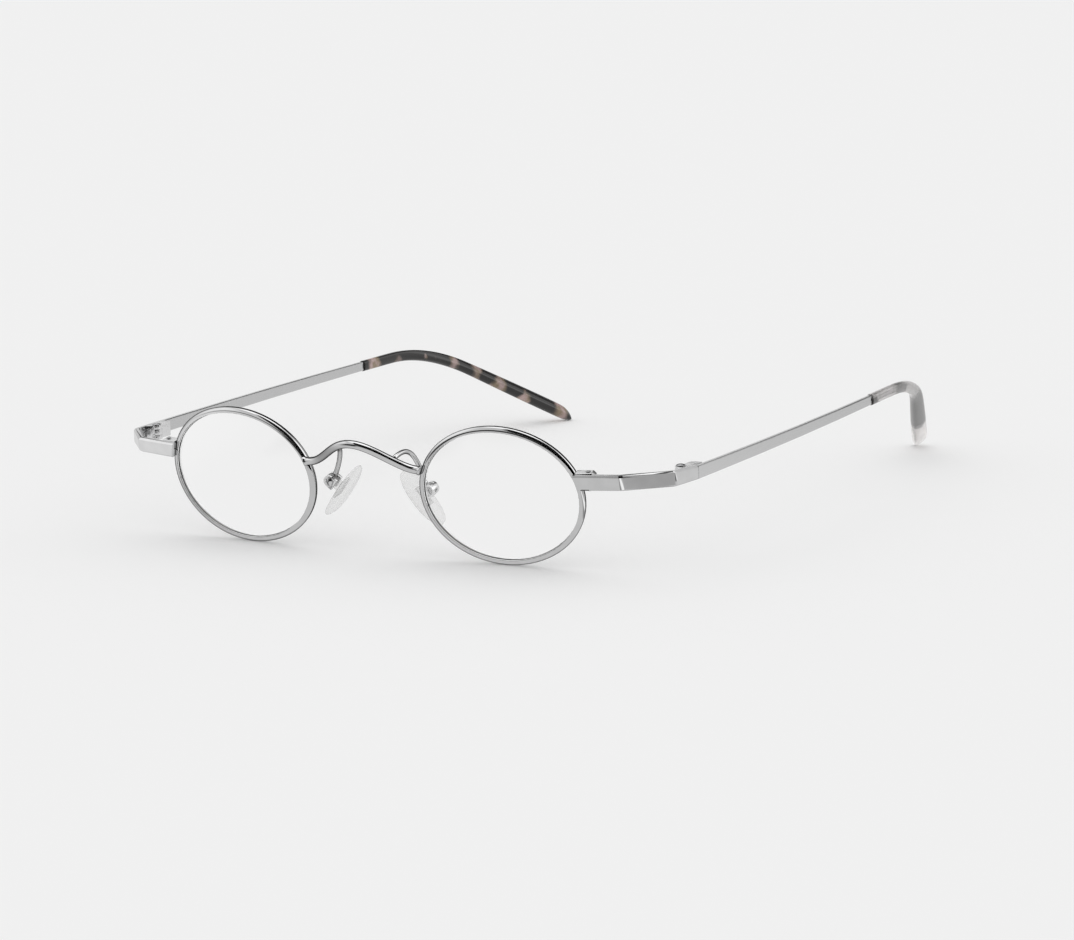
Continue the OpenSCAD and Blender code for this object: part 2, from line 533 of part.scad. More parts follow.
tip_ss = concat([bar_l, bar_l + tip_straight / 2], bend_ss,
  [for (f = [0.3, 0.6]) temple_l - cap_l - (tip_drop - cap_l) * (1 - f)],
  [for (f = [0, 0.35, 0.65, 0.85, 0.96, 1]) temple_l - cap_l * (1 - f)]);
function lowest(rise) = min([for (s = tip_ss) for (p = frame_ring(line_at(s, rise), tip_pts(s))) p[2]]);
tip_back = line_at(temple_l, 2)[0][1] - seam_at[1];
// Two steps find the slope at which the tips stand on the table
slope_try = 2 - atan(lowest(2) / tip_back);
temple_rise = slope_try - atan(lowest(slope_try) / tip_back);

core_end = temple_l - core_short;
core_ss = concat([bar_l + socket_d, bar_l + tip_straight * 0.6], bend_ss, [core_end]);
module temple_tip() color([0.16, 0.12, 0.11]) sleeve(
  [for (s = tip_ss) frame_ring(line_at(s, temple_rise), tip_pts(s))],
  concat(
    [for (s = [bar_l, bar_l + socket_d + core_gap]) frame_ring(line_at(s, temple_rise),
      bar_pts(temple_t1 + 2 * core_gap, temple_h1 + 2 * core_gap, temple_edge))],
    [for (s = concat([bar_l + socket_d + 2 * core_gap], [for (i = [1:len(core_ss) - 2]) core_ss[i]],
        [core_end + core_gap]))
      frame_ring(line_at(s, temple_rise), circle_pts(core_d / 2 + core_gap, bar_sides))]));

// Temple: a flat bar that tapers to the tip, then its core wire
function temple_pts(s) = let (f = min(1, s / bar_l))
  bar_pts(lerp(bar_t, temple_t1, f), lerp(temple_h0, temple_h1, f), temple_edge);
temple_ss = concat([seam_gap], [for (f = [0.1, 0.32, 0.55, 0.78]) bar_l * f],
  [bar_l - core_step, bar_l + socket_d - core_step]);
module temple() color(SIL) skin(concat(
  [for (s = temple_ss) frame_ring(line_at(s, temple_rise), temple_pts(s))],
  [frame_ring(line_at(bar_l + socket_d, temple_rise), [for (p = temple_pts(bar_l)) [p[0] * 0.9, p[1] * 0.75]])],
  [for (s = core_ss) frame_ring(line_at(s + 0.01, temple_rise), circle_pts(core_d / 2, bar_sides))]));

// The middle of the whole part, front to back, from the bridge's front to the tips' ends
front_y = min([for (x = bridge_xs) for (p = bridge_ring(x)) from_front(p)[1]]);
back_y = max([for (s = tip_ss) for (p = frame_ring(line_at(s, temple_rise), tip_pts(s))) p[1]]);
mid_y = (front_y + back_y) / 2;

on(-1) rim();  // rim_left
on(1) rim();  // rim_right
on(-1) lens();  // lens_left
on(1) lens();  // lens_right
on(1) bridge();
on(-1) guard_arm();  // guard_arm_left
on(1) guard_arm();  // guard_arm_right
on(-1) pad_box();  // pad_box_left
on(1) pad_box();  // pad_box_right
on(-1) pad_screw();  // pad_screw_left
on(1) pad_screw();  // pad_screw_right
on(-1) pad_mount();  // pad_mount_left
on(1) pad_mount();  // pad_mount_right
on(-1) nose_pad();  // nose_pad_left
on(1) nose_pad();  // nose_pad_right
on(-1) closing_block_upper();  // closing_block_upper_left
on(1) closing_block_upper();  // closing_block_upper_right
on(-1) closing_block_lower();  // closing_block_lower_left
on(1) closing_block_lower();  // closing_block_lower_right
on(-1) closing_screw();  // closing_screw_left
on(1) closing_screw();  // closing_screw_right
on(-1) endpiece();  // endpiece_left
on(1) endpiece();  // endpiece_right
on(-1) hinge_pins();  // hinge_pins_left
on(1) hinge_pins();  // hinge_pins_right
on(-1) front_hinge();  // front_hinge_left
on(1) front_hinge();  // front_hinge_right
on(-1) temple_hinge();  // temple_hinge_left
on(1) temple_hinge();  // temple_hinge_right
on(-1) hinge_screw();  // hinge_screw_left
on(1) hinge_screw();  // hinge_screw_right
on(-1) temple();  // temple_left
on(1) temple();  // temple_right
on(-1) temple_tip();  // temple_tip_left
on(1) temple_tip();  // temple_tip_right
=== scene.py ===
import json
import math

import bpy
from bpy.props import FloatProperty, FloatVectorProperty, PointerProperty
from bpy.types import Operator, Panel, PropertyGroup
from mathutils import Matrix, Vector
from mathutils.kdtree import KDTree


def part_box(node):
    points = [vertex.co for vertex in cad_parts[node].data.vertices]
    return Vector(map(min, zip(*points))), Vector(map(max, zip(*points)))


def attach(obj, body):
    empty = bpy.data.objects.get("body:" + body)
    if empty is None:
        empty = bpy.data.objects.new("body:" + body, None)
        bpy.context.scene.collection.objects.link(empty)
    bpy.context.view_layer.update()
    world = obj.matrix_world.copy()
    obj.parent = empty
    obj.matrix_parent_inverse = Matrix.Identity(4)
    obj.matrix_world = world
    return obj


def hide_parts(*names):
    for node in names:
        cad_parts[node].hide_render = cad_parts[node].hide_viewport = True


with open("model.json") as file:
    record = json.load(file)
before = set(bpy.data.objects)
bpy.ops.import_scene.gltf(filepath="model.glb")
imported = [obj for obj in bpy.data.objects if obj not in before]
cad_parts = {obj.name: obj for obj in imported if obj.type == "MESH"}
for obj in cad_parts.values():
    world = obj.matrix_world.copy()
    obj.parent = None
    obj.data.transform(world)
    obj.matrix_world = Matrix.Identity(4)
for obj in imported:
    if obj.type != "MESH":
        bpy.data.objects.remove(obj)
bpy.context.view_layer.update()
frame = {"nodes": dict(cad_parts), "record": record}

bl_info = {
    "name": "Metal Reading Glasses",
    "version": (1, 0, 0),
    "blender": (4, 5, 0),
    "location": "View3D > Sidebar > Glasses",
    "description": "Finishes the frame, lenses, pads and tips of a pair of metal reading glasses",
    "category": "Object",
}

RECORD = frame["record"]
BODY_OF = {node: body for body, nodes in RECORD["behaviour"]["bodies"].items() for node in nodes}
SIDES = ("left", "right")

# Lengths in metres
MERGED = 0.000002         # points nearer to each other than this are joined
SAME_PLACE = 0.00001      # points this near lie at one place
FLAT_BORDER = 0.00003     # width of the border inside a flat face
SOLDER_REACH = 0.00098    # how far solder spreads from the end of a guard arm
SOLDER_LENGTH = 0.00028   # length of the solder at a foot of the bridge
FOOT_DEPTH = 0.0005       # how far a foot of the bridge goes on into its rim
END_DEPTH = 0.001         # the end faces of the bridge lie within this of its tip
ARM_SWELL = 0.00008       # what smoothing takes from a guard arm, added beforehand
PIN_MARGIN = 0.0002       # how far the hinge pins' holes are kept clear of rounding
PLATE_EDGE = 0.00008      # radius on the edges of the plate inside a pad
TIP_EDGE = 0.00012        # radius at the mouth of a tip
CORE_REACH = 0.0003       # the bore of a tip lies this near to its core wire

# Areas in square metres from which a face is a flat
END_BAR_FLAT = 0.000003
TEMPLE_FLAT = 0.0000004

# Degrees by which two faces turn at an edge, from and to
RIM_SHARP = (48, 64)      # the sharper edges of a rim
RIM_BLUNT = (28, 41)      # its blunter edges
BAR_BENDS = (13, 46)      # the bends of an end bar
BAR_EDGES = (25, 120)     # its long edges

# Degrees up to which the faces of a bar shade as one
BAR_SMOOTH = 46

# Factors on the roundings that a user may change
BLUNT_SHARE = 0.45        # for a rim's blunter edges, on its rounding
BOX_SHARE = 1.6           # for a pad box, on the small edges
BLOCK_SHARE = 1.4         # for a closing block
SCREW_SHARE = 0.7         # for a screw

# Other factors
FOOT_GROWTH = 1.05        # how much a foot of the bridge widens again inside its rim
STEEP_SHARE = 0.35        # an edge is steep when it rises by more than this share of its length
END_FACING = 0.85         # how squarely an end face of the bridge looks sideways, 1 being fully

# The lamp: the way that it shines, and its spread in degrees
LAMP_AIM = (0.35, -0.25, -1)
LAMP_SPREAD = 50


# Sizes and colours that a user may change

class GlassesMetalSettings(PropertyGroup):
    """The metal of the rims, bridge, arms, bars and small parts"""

    wire_round: FloatProperty(
        name="Rim rounding", description="How far the sharper edges of the rims are rounded",
        default=0.00034, min=0.00002, max=0.0004, precision=6, subtype="DISTANCE")
    bend: FloatProperty(
        name="Bend rounding", description="How far the bends of the end bars are rounded",
        default=0.00045, min=0.00002, max=0.0006, precision=6, subtype="DISTANCE")
    bar_edge: FloatProperty(
        name="Bar edge rounding", description="Radius on the long edges of the end bars",
        default=0.00016, min=0.00002, max=0.0003, precision=6, subtype="DISTANCE")
    temple_edge: FloatProperty(
        name="Temple edge rounding", description="Radius on the edges of the temples",
        default=0.0001, min=0.00002, max=0.0003, precision=6, subtype="DISTANCE")
    edge: FloatProperty(
        name="Rim edge rounding", description="Radius on the other edges of the rims",
        default=0.00012, min=0.00002, max=0.0003, precision=6, subtype="DISTANCE")
    small_edge: FloatProperty(
        name="Small edge rounding", description="Radius on the edges of hinges, screws and boxes",
        default=0.00006, min=0.00001, max=0.0001, precision=6, subtype="DISTANCE")
    flare: FloatProperty(
        name="Solder flare", description="How far a wire widens where it is soldered",
        default=1.16, min=1.0, max=1.6, subtype="FACTOR")
    color: FloatVectorProperty(
        name="Polished colour", description="Colour of the polished metal",
        default=(0.56, 0.56, 0.562), size=3, min=0, max=1, subtype="COLOR")
    dark_color: FloatVectorProperty(
        name="Screw colour", description="Colour of the hinge screws, closing screws and pins",
        default=(0.33, 0.33, 0.335), size=3, min=0, max=1, subtype="COLOR")
    # The metal's edge colour; on a wire it is kept low, which with the painted shade in its colour
    # darkens its outline
    edge_tint: FloatProperty(
        name="Edge tint", description="How bright a wire stays where it turns away",
        default=0.25, min=0.0, max=1.0, subtype="FACTOR")
    flat_tint: FloatProperty(
        name="Flat edge tint", description="How bright a flat bar stays where it turns away",
        default=0.85, min=0.0, max=1.0, subtype="FACTOR")
    roughness: FloatProperty(
        name="Polish", description="Roughness of the polished metal",
        default=0.05, min=0.02, max=0.6, subtype="FACTOR")
    brushed_roughness: FloatProperty(
        name="Brushing", description="Roughness of the brushed temple faces",
        default=0.22, min=0.05, max=0.6, subtype="FACTOR")


class GlassesClearSettings(PropertyGroup):
    """The lenses and the nose pads"""

    lens_tint: FloatVectorProperty(
        name="Lens tint", description="Colour of the lenses",
        default=(0.995, 0.995, 0.995), size=3, min=0, max=1, subtype="COLOR")
    pad_tint: FloatVectorProperty(
        name="Pad tint", description="Colour of the pads",
        default=(0.74, 0.74, 0.735), size=3, min=0, max=1, subtype="COLOR")
    pad_haze: FloatProperty(
        name="Pad haze", description="How much of what lies behind a pad its middle hides",
        default=0.2, min=0.0, max=1.0, subtype="FACTOR")
    pad_rim: FloatProperty(
        name="Pad outline", description="How much a pad's outline hides",
        default=0.36, min=0.0, max=1.0, subtype="FACTOR")


class GlassesTipSettings(PropertyGroup):
    """The acetate tips"""

    dark: FloatVectorProperty(
        name="Dark acetate", description="Colour of the dark tip between its patches",
        default=(0.013, 0.012, 0.0115), size=3, min=0, max=1, subtype="COLOR")
    rose: FloatVectorProperty(
        name="Light acetate", description="Colour of the light patches on the dark tip",
        default=(0.42, 0.31, 0.29), size=3, min=0, max=1, subtype="COLOR")
    tan: FloatVectorProperty(
        name="Tan acetate", description="Colour of the brown patches on the dark tip",
        default=(0.24, 0.18, 0.12), size=3, min=0, max=1, subtype="COLOR")
    clear: FloatVectorProperty(
        name="Clear acetate", description="Colour of the clear parts of the light tip",
        default=(0.93, 0.9, 0.89), size=3, min=0, max=1, subtype="COLOR")
    cloud: FloatVectorProperty(
        name="Cloudy acetate", description="Colour of the dark clouds in the light tip",
        default=(0.075, 0.073, 0.072), size=3, min=0, max=1, subtype="COLOR")
    warp: FloatProperty(
        name="Patch drift", description="How far the outlines of the patches wander",
        default=0.002, min=0.0, max=0.01, precision=4, subtype="DISTANCE")


class GlassesStageSettings(PropertyGroup):
    """The floor, the light and the camera"""

    floor_color: FloatProperty(
        name="Floor", description="Brightness of the floor",
        default=0.871, min=0, max=1, subtype="FACTOR")
    backdrop: FloatProperty(
        name="Backdrop", description="Brightness of the surroundings as the camera sees them",
        default=0.871, min=0, max=1, subtype="FACTOR")
    room: FloatProperty(
        name="Room light", description="Brightness of the surroundings as soft light",
        default=0.99, min=0, max=2)
    key: FloatProperty(
        name="Key light", description="Strength of the wide light from above",
        default=0.05, min=0, max=5)
    overhead: FloatProperty(
        name="Overhead panel",
        description="Brightness of the panels above and on the right, in reflections",
        default=1.9, min=0, max=5)
    side_panel: FloatProperty(
        name="Side panel", description="Brightness of the panel on the left, in reflections",
        default=1.4, min=0, max=5)
    card: FloatProperty(
        name="Dark card",
        description="Brightness of the dark cards round the object, in reflections",
        default=0.01, min=0, max=1)
    camera_place: FloatVectorProperty(
        name="Camera place", description="Where the camera stands",
        default=(0.369613, -0.678859, 0.137148), size=3, subtype="TRANSLATION")
    camera_turn: FloatVectorProperty(
        name="Camera turn", description="How the camera is turned",
        default=tuple(math.radians(a) for a in (80.27269, 0.748544, 28.871133)), size=3,
        subtype="EULER")
    camera_lens: FloatProperty(
        name="Focal length", description="Focal length in millimetres on a 36 mm sensor",
        default=120.03, min=20, max=300)


# Shader helpers

class Signal:
    """A socket of a node tree, on which arithmetic adds Math nodes"""

    def __init__(self, tree, socket):
        self.tree = tree
        self.socket = socket

    def math(self, operation, *terms):
        """What a Math node makes of signals and numbers"""
        node = self.tree.nodes.new("ShaderNodeMath")
        node.operation = operation
        for socket, term in zip(node.inputs, terms):
            if isinstance(term, Signal):
                self.tree.links.new(term.socket, socket)
            else:
                socket.default_value = term
        return Signal(self.tree, node.outputs[0])

    def __add__(self, other):
        return self.math("ADD", self, other)

    def __sub__(self, other):
        return self.math("SUBTRACT", self, other)

    def __rsub__(self, other):
        return self.math("SUBTRACT", other, self)

    def __mul__(self, other):
        return self.math("MULTIPLY", self, other)

    __radd__ = __add__
    __rmul__ = __mul__

    def larger(self, other):
        """The larger of two values"""
        return self.math("MAXIMUM", self, other)

    def smaller(self, other):
        """The smaller of two values"""
        return self.math("MINIMUM", self, other)


class Shader:
    """The node tree of a material or of the surroundings"""

    def __init__(self, tree):
        self.tree = tree
        tree.nodes.clear()

    def add(self, kind, settings=None, inputs=None, out=None):
        """Adds a node with its settings, then its sockets, and gives it or one of its outputs"""
        node = self.tree.nodes.new("ShaderNode" + kind)
        for name, value in (settings or {}).items():
            setattr(node, name, value)
        for name, value in (inputs or {}).items():
            if isinstance(value, Signal):
                self.tree.links.new(value.socket, node.inputs[name])
            elif node.inputs[name].type == "RGBA":
                node.inputs[name].default_value = (*value, 1)
            else:
                node.inputs[name].default_value = value
        return node if out is None else Signal(self.tree, node.outputs[out])

    def place(self):
        """The place of a point on its piece, in metres"""
        return self.add("TexCoord", out="Object")

    def scaled(self, vector, scale):
        """A place stretched along each axis"""
        return self.add("Mapping", {}, {"Vector": vector, "Scale": scale}, "Vector")

    def noise(self, vector, scale, detail=2.0, roughness=0.5, out="Fac"):
        """Soft clouds, as a value or as a colour"""
        return self.add("TexNoise", {}, {"Vector": vector, "Scale": scale, "Detail": detail,
                                         "Roughness": roughness}, out)

    def blend(self, factor, a, b):
        """Colour a where the factor is 0, and b where it is 1"""
        return self.add("Mix", {"data_type": "RGBA"}, {0: factor, 6: a, 7: b}, 2)

    def ease(self, value, begin, whole, start=0.0, end=1.0):
        """Goes softly from start, where the value is begin, to end, where it is whole"""
        return self.add("MapRange", {"interpolation_type": "SMOOTHSTEP"},
                        {"Value": value, "From Min": begin, "From Max": whole,
                         "To Min": start, "To Max": end}, "Result")

    def card(self, *sides):
        """The product of an ease for each side of a card: 1 inside it and 0 outside"""
        return math.prod(self.ease(*side) for side in sides)

    def spot(self, place, centre, radius, edge=0.5):
        """1 round a centre and 0 from the radius on, easing over a share of the radius"""
        far = self.add("VectorMath", {"operation": "DISTANCE"}, {0: place, 1: centre}, "Value")
        return self.ease(far, radius, radius * (1 - edge))

    def split(self, vector):
        """The three parts of a vector"""
        parts = self.add("SeparateXYZ", {}, {"Vector": vector})
        return [Signal(self.tree, parts.outputs[axis]) for axis in "XYZ"]

    def grey(self, level):
        """A colour from a level, which may pass 1"""
        return self.add("CombineXYZ", {}, {axis: level for axis in "XYZ"}, "Vector")

    def facing(self, blend):
        """0 where the surface faces the eye, and 1 where it turns away"""
        return self.add("LayerWeight", {}, {"Blend": blend}, "Facing")

    def ray(self, kind):
        """1 for the rays of a kind"""
        return self.add("LightPath", out="Is " + kind + " Ray")

    def bump(self, height, distance, strength):
        """A surface that rises with a height"""
        return self.add("Bump", {}, {"Height": height, "Distance": distance,
                                     "Strength": strength}, "Normal")

    def surface(self, inputs):
        """The Principled surface"""
        return self.add("BsdfPrincipled", {}, inputs, "BSDF")

    def mixed(self, factor, a, b):
        """Surface a where the factor is 0, and b where it is 1"""
        return self.add("MixShader", {}, {0: factor, 1: a, 2: b}, 0)

    def end(self, shader, output="OutputMaterial"):
        """Sends a shader to the output of the tree"""
        self.add(output, {}, {"Surface": shader})


def made_material(name, build):
    """A material by its name, built the first time that it is asked for"""
    found = bpy.data.materials.get(name)
    if found is None:
        found = bpy.data.materials.new(name)
        found.use_nodes = True
        build(Shader(found.node_tree))
    return found


def times(color, factor):
    """A colour made darker or lighter, up to white"""
    return [min(1, c * factor) for c in color]


# Materials

def polished_metal(wire=False):
    """The polished metal; on a wire, painted shade darkens its colour where the surface turns
    away, drawing dark outlines
    """
    own = bpy.context.scene.glasses_metal
    tint = own.edge_tint if wire else own.flat_tint
    relief = 0.12 if wire else 0.35

    def build(s):
        place = s.place()
        cloud = s.noise(place, scale=420, detail=3)
        grain = s.noise(place, scale=5200)
        base = s.blend(s.ease(cloud, 0.3, 0.75), times(own.color, 0.97), times(own.color, 1.03))
        # Painted shade: a wire's colour darkens to 0.3 of itself where its surface turns away, for
        # dark outlines
        if wire:
            base = s.blend(s.ease(s.facing(0.5), 0.3, 0.62), base, times(own.color, 0.3))
        rough = own.roughness + (cloud - 0.5) * 0.05 + (grain - 0.5) * 0.03
        s.end(s.surface({"Base Color": base, "Metallic": 1.0, "Roughness": rough,
                         "Specular Tint": [tint] * 3,
                         "Normal": s.bump(grain + cloud * 2.0, 0.000004, relief)}))
    return made_material("polished silver wire" if wire else "polished silver metal", build)


def satin_metal():
    """The softer metal of the boxes, blocks and hinge leaves, with painted light: its colour is
    lighter than the polished metal's
    """
    own = bpy.context.scene.glasses_metal

    def build(s):
        place = s.place()
        cloud = s.noise(place, scale=900, detail=3)
        fine = s.noise(place, scale=7000)
        # Painted light: 1.2 to 1.35 times the polished colour, so that these parts show brighter;
        # the rougher finish is their own
        base = s.blend(cloud, times(own.color, 1.2), times(own.color, 1.35))
        s.end(s.surface({"Base Color": base, "Metallic": 1.0, "Roughness": 0.14 + fine * 0.12,
                         "Specular Tint": [own.flat_tint] * 3,
                         "Normal": s.bump(fine + cloud, 0.000006, 0.4)}))
    return made_material("satin silver metal", build)


def brushed_metal():
    """The metal of the temples, brushed along them"""
    own = bpy.context.scene.glasses_metal

    def build(s):
        place = s.place()
        streaks = s.noise(s.scaled(place, (9000, 90, 9000)), scale=1.0, detail=3, roughness=0.6)
        cloud = s.noise(place, scale=260)
        base = s.blend(streaks, times(own.color, 0.92), times(own.color, 1.05))
        rough = own.brushed_roughness + (streaks - 0.5) * 0.2 + (cloud - 0.5) * 0.06
        s.end(s.surface({"Base Color": base, "Metallic": 1.0, "Roughness": rough,
                         "Normal": s.bump(streaks, 0.000006, 0.5)}))
    return made_material("brushed silver metal", build)


def screw_metal():
    """The darker metal of the screws and pins"""
    own = bpy.context.scene.glasses_metal

    def build(s):
        turned = s.noise(s.scaled(s.place(), (1500, 1500, 7000)), scale=1.0)
        base = s.blend(turned, times(own.dark_color, 0.75), times(own.dark_color, 1.25))
        s.end(s.surface({"Base Color": base, "Metallic": 1.0, "Roughness": 0.2 + turned * 0.16,
                         "Normal": s.bump(turned, 0.000008, 0.5)}))
    return made_material("turned screw metal", build)


def lens_glass():
    """The clear lenses, which let light fall on what is behind them"""
    own = bpy.context.scene.glasses_clear

    def build(s):
        film = s.noise(s.place(), scale=120, detail=3)
        clear = s.surface({"Base Color": s.blend(film, own.lens_tint, times(own.lens_tint, 0.995)),
                           "Roughness": film * 0.012, "IOR": 1.5, "Transmission Weight": 1.0})
        open_to_light = s.add("BsdfTransparent", {}, {"Color": own.lens_tint}, "BSDF")
        s.end(s.mixed(s.ray("Shadow"), clear, open_to_light))
    return made_material("clear lens", build)


def soft_clear(s, tint, haze, rim, roughness, normal):
    """A clear soft solid as a veil that thickens towards its outline, where painted shade darkens
    its colour
    """
    # Painted shade: towards the outline the tint darkens to 0.72 of itself and the veil hides more
    outline = s.ease(s.facing(0.45), 0.35, 0.95)
    return s.surface({"Base Color": s.blend(outline, tint, times(tint, 0.72)),
                      "Roughness": roughness, "IOR": 1.42, "Normal": normal,
                      "Alpha": haze + outline * (rim - haze)})


def pad_silicone():
    """The clear cushions of the nose pads"""
    own = bpy.context.scene.glasses_clear

    def build(s):
        place = s.place()
        cloud = s.noise(place, scale=330, detail=3)
        grain = s.noise(place, scale=2600)
        s.end(soft_clear(s, own.pad_tint, haze=own.pad_haze * (0.7 + cloud * 0.6),
                         rim=own.pad_rim, roughness=0.22 + grain * 0.1,
                         normal=s.bump(cloud + grain * 0.3, 0.00003, 0.4)))
    return made_material("clear pad silicone", build)


def core_plastic():
    """The harder plates inside the nose pads"""
    own = bpy.context.scene.glasses_clear

    def build(s):
        cloud = s.noise(s.place(), scale=700)
        s.end(soft_clear(s, times(own.pad_tint, 0.92), haze=own.pad_haze * (0.8 + cloud * 0.6),
                         rim=0.75, roughness=0.08 + cloud * 0.12,
                         normal=s.bump(cloud, 0.00002, 0.4)))
    return made_material("clear hard plastic", build)


# Patches of each tip: the centre and the radius in metres, and how strongly it shows.
# They are light on the left tip, which is dark, and dark on the right one, which is clear.
TIP_PATCHES = {
    "left": (
        ((-0.0640, 0.0246, 0.0211), 0.0031, 1.0),
        ((-0.0633, 0.0345, 0.0206), 0.0019, 0.35),
        ((-0.0621, 0.0450, 0.0204), 0.0012, 0.6),
        ((-0.0600, 0.0545, 0.0179), 0.0021, 0.8),
        ((-0.0576, 0.0612, 0.0150), 0.0025, 0.75),
        ((-0.0552, 0.0672, 0.0108), 0.0032, 0.85),
        ((-0.0524, 0.0744, 0.0066), 0.0027, 1.3),
        ((-0.0481, 0.0855, 0.0026), 0.0034, 0.9),
    ),
    "right": (
        ((0.0648, 0.0213, 0.0196), 0.0024, 1.3),
        ((0.0636, 0.0372, 0.0212), 0.0044, 0.65),
        ((0.0596, 0.0562, 0.0186), 0.0046, 0.8),
        ((0.0587, 0.0592, 0.0168), 0.0056, 0.5),
        ((0.0576, 0.0618, 0.0150), 0.0062, 0.55),
        ((0.0564, 0.0650, 0.0132), 0.0062, 0.55),
        ((0.0552, 0.0680, 0.0116), 0.0062, 0.55),
        ((0.0541, 0.0706, 0.0103), 0.0056, 0.5),
        ((0.0528, 0.0734, 0.0086), 0.0038, 0.6),
    ),
}


def patch_cover(s, place, side, warp):
    """How strongly the patches of a tip show, with outlines that wander by warp"""
    wander = s.noise(place, scale=420, out="Color")
    drift = s.add("VectorMath", {"operation": "SCALE"}, {0: wander, "Scale": warp}, "Vector")
    moved = s.add("VectorMath", {"operation": "ADD"}, {0: place, 1: drift}, "Vector")
    return sum(s.spot(moved, [c + warp / 2 for c in centre], radius, edge=0.45) * strength
               for centre, radius, strength in TIP_PATCHES[side])


def tip_acetate(side):
    """The acetate of one tip: dark with rose and tan, or clear with dark clouds"""
    own = bpy.context.scene.glasses_tip

    def build(s):
        place = s.place()
        swirl = s.noise(place, scale=330)
        fleck = s.noise(place, scale=1500, detail=3)
        cover = patch_cover(s, place, side, own.warp)
        if side == "left":
            light = s.blend(s.ease(swirl, 0.4, 0.6), own.tan, own.rose)
            shown = (cover + s.ease(swirl, 0.62, 0.75) * 0.06).smaller(1.0)
            s.end(s.surface({"Base Color": s.blend(shown, own.dark, light),
                             "Roughness": 0.13 + fleck * 0.05, "Specular IOR Level": 0.42}))
        else:
            dark = s.surface({"Base Color": s.blend(fleck, own.cloud, times(own.cloud, 1.15)),
                              "Roughness": 0.14 + fleck * 0.06})
            pale = s.surface({"Base Color": s.blend(swirl, own.clear, times(own.clear, 0.94)),
                              "Roughness": 0.05 + fleck * 0.06, "IOR": 1.47,
                              "Transmission Weight": 0.75})
            shown = (cover + s.ease(swirl, 0.5, 0.7) * 0.15).smaller(1.0)
            s.end(s.mixed(shown, pale, dark))
    return made_material("tortoise acetate " + side, build)


# Modelling helpers

SELECT_MODES = {"vertices": "VERT", "edges": "EDGE", "polygons": "FACE"}


def only(obj):
    """Makes obj the one that operators act on"""
    bpy.ops.object.select_all(action="DESELECT")
    obj.select_set(True)
    bpy.context.view_layer.objects.active = obj


def points_of(obj):
    """The places of the points of obj"""
    return [v.co.copy() for v in obj.data.vertices]


def middle(points):
    """The mean of some places"""
    return sum(points, Vector((0, 0, 0))) / len(points)


def pick(obj, kind, test):
    """Selects the vertices, edges or polygons of obj that pass a test, and stays in edit mode"""
    only(obj)
    bpy.ops.object.mode_set(mode="EDIT")
    bpy.ops.mesh.select_mode(type=SELECT_MODES[kind])
    bpy.ops.mesh.select_all(action="DESELECT")
    bpy.ops.object.mode_set(mode="OBJECT")
    chosen = [item for item in getattr(obj.data, kind) if test(item)]
    if not chosen:
        raise RuntimeError("none of the " + kind + " to select on " + obj.name)
    for item in chosen:
        item.select = True
    bpy.ops.object.mode_set(mode="EDIT")


def leave_edit():
    """Goes back to object mode, and to selecting by points"""
    bpy.ops.mesh.select_mode(type="VERT")
    bpy.ops.object.mode_set(mode="OBJECT")


def worked_copy(node, name, flat=True, within=0.6):
    """A closed copy of a node's mesh, in which the faces that lie flat within an angle are one,
    or, where flat is False, the triangles are paired"""
    obj = bpy.data.objects.new(name, frame["nodes"][node].data.copy())
    bpy.context.scene.collection.objects.link(obj)
    only(obj)
    if obj.data.has_custom_normals:
        bpy.ops.mesh.customdata_custom_splitnormals_clear()
    bpy.ops.object.mode_set(mode="EDIT")
    bpy.ops.mesh.select_all(action="SELECT")
    bpy.ops.mesh.remove_doubles(threshold=MERGED)
    if flat:
        bpy.ops.mesh.dissolve_limited(angle_limit=math.radians(within))
    else:
        bpy.ops.mesh.tris_convert_to_quads(face_threshold=math.radians(35),
                                           shape_threshold=math.radians(75))
    bpy.ops.mesh.normals_make_consistent(inside=False)
    bpy.ops.object.mode_set(mode="OBJECT")
    return obj


def turned_edges(obj, turn):
    """The edges of obj where two faces turn by a number of degrees, given as from and to"""
    normals = {}
    for face in obj.data.polygons:
        for key in face.edge_keys:
            normals.setdefault(key, []).append(face.normal.copy())
    low, high = turn
    return {key for key, pair in normals.items()
            if len(pair) == 2 and low < math.degrees(pair[0].angle(pair[1], 0)) < high}


def bent_soft(obj, turn, width, segments=4, fits=None):
    """Rounds the edges of obj with a turn, or those of them whose two ends fit"""
    turned = turned_edges(obj, turn)

    def wanted(edge):
        if edge.key not in turned:
            return False
        a, b = (obj.data.vertices[i].co for i in edge.vertices)
        return fits is None or fits(a, b)

    pick(obj, "edges", wanted)
    bpy.ops.mesh.bevel(offset=width, segments=segments, affect="EDGES", clamp_overlap=True)
    leave_edit()


def steep(a, b):
    """Tells whether the edge from a to b climbs"""
    return abs(a.z - b.z) > STEEP_SHARE * (a - b).length


def outside(box, margin):
    """A test of whether a place lies outside a box that is grown by a margin"""
    near, far = (Vector(corner) + Vector((sign, sign, sign)) * margin
                 for corner, sign in zip(box, (-1, 1)))
    return lambda p: any(not low < c < high for low, c, high in zip(near, p, far))


def firm_flats(obj, area):
    """Draws a narrow border inside each large face of obj, so that its middle shades as a flat"""
    pick(obj, "polygons", lambda face: face.area > area)
    bpy.ops.mesh.inset(thickness=FLAT_BORDER, depth=0.0, use_individual=True)
    leave_edit()
    bpy.ops.object.shade_smooth_by_angle(angle=math.radians(BAR_SMOOTH))


